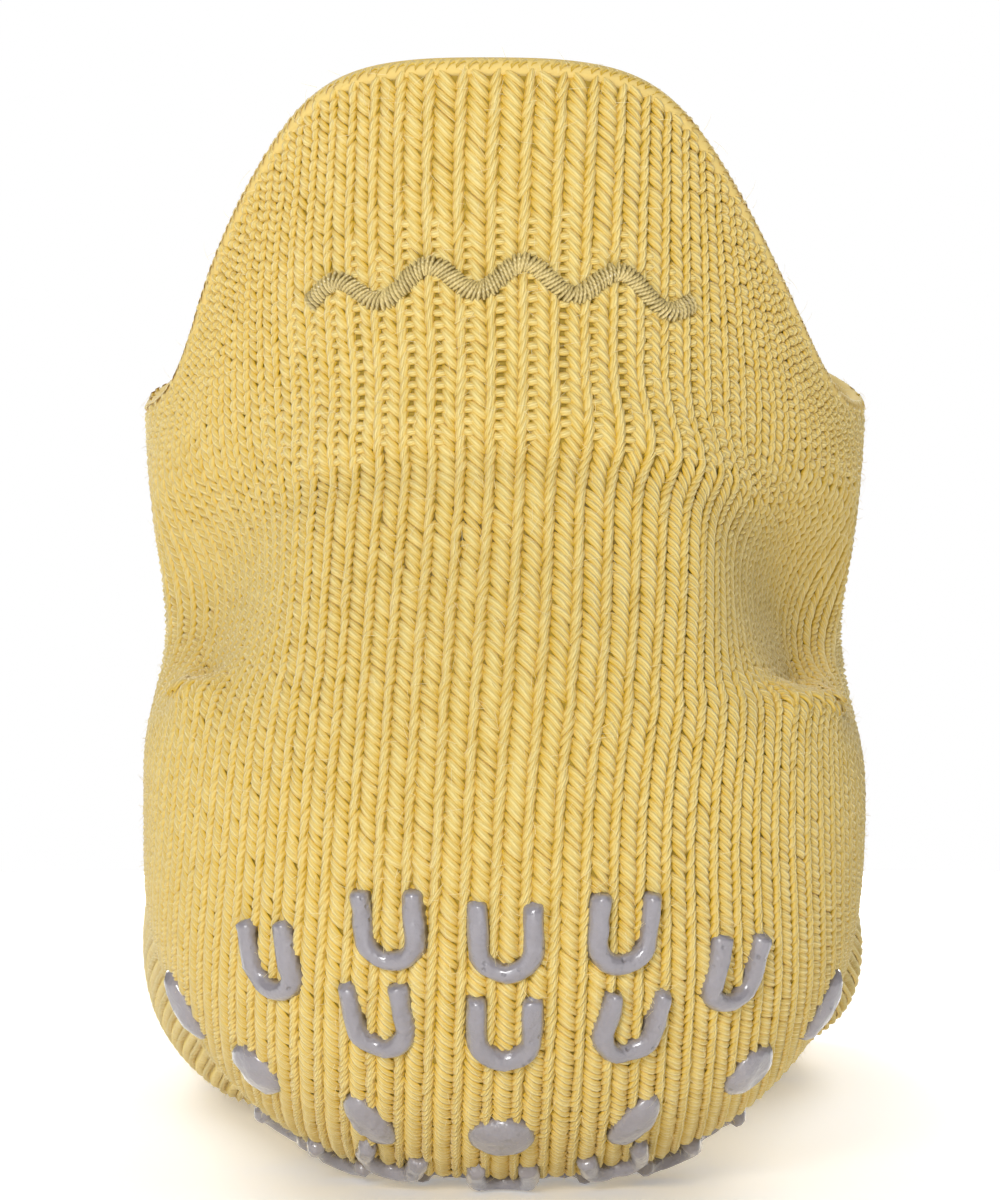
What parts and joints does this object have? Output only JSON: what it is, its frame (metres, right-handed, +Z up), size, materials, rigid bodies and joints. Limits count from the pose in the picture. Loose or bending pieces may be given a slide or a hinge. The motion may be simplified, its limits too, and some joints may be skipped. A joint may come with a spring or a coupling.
{
  "type": "non-slip toe sock",
  "caption": "Low-cut knitted toe sock with separate toe pockets, a tall heel tab and raised U-shaped silicone grips on its heel and sole.",
  "frame": {"origin": "on the floor, under the middle of the sock's box", "axes": "+Y from the heel towards the toes, +X towards the big toe's side, +Z up"},
  "size_m": [0.0814, 0.2434, 0.0995],
  "materials": {
    "knit": "chunky pale yellow stockinette knit, matt, slightly fuzzy",
    "silicone": "printed grey silicone, softly glossy"
  },
  "bodies": {
    "root": {"knit_sock": "knit", "grip_back_1": "silicone", "grip_back_2": "silicone", "grip_back_3": "silicone", "grip_back_4": "silicone", "grip_back_5": "silicone", "grip_back_6": "silicone", "grip_back_7": "silicone", "grip_back_8": "silicone", "grip_ball_1_1": "silicone", "grip_ball_1_2": "silicone", "grip_ball_1_3": "silicone", "grip_ball_1_4": "silicone", "grip_ball_1_5": "silicone", "grip_ball_2_1": "silicone", "grip_ball_2_2": "silicone", "grip_ball_2_3": "silicone", "grip_ball_2_4": "silicone", "grip_ball_2_5": "silicone", "grip_ball_2_6": "silicone", "grip_ball_3_1": "silicone", "grip_ball_3_2": "silicone", "grip_ball_3_3": "silicone", "grip_ball_3_4": "silicone", "grip_ball_3_5": "silicone", "grip_ball_3_6": "silicone", "grip_ball_3_7": "silicone", "grip_ball_4_1": "silicone", "grip_ball_4_2": "silicone", "grip_ball_4_3": "silicone", "grip_ball_4_4": "silicone", "grip_ball_4_5": "silicone", "grip_ball_4_6": "silicone", "grip_band_1": "silicone", "grip_band_2": "silicone", "grip_band_3": "silicone", "grip_band_4": "silicone", "grip_band_5": "silicone", "grip_band_6": "silicone", "grip_band_7": "silicone", "grip_heel_1_1": "silicone", "grip_heel_1_2": "silicone", "grip_heel_1_3": "silicone", "grip_heel_2_1": "silicone", "grip_heel_2_2": "silicone", "grip_heel_2_3": "silicone", "grip_heel_2_4": "silicone", "grip_heel_3_1": "silicone", "grip_heel_3_2": "silicone", "grip_heel_3_3": "silicone", "grip_heel_3_4": "silicone", "grip_heel_3_5": "silicone", "grip_heel_4_1": "silicone", "grip_heel_4_2": "silicone", "grip_heel_4_3": "silicone", "grip_heel_4_4": "silicone"}
  },
  "joints": []
}
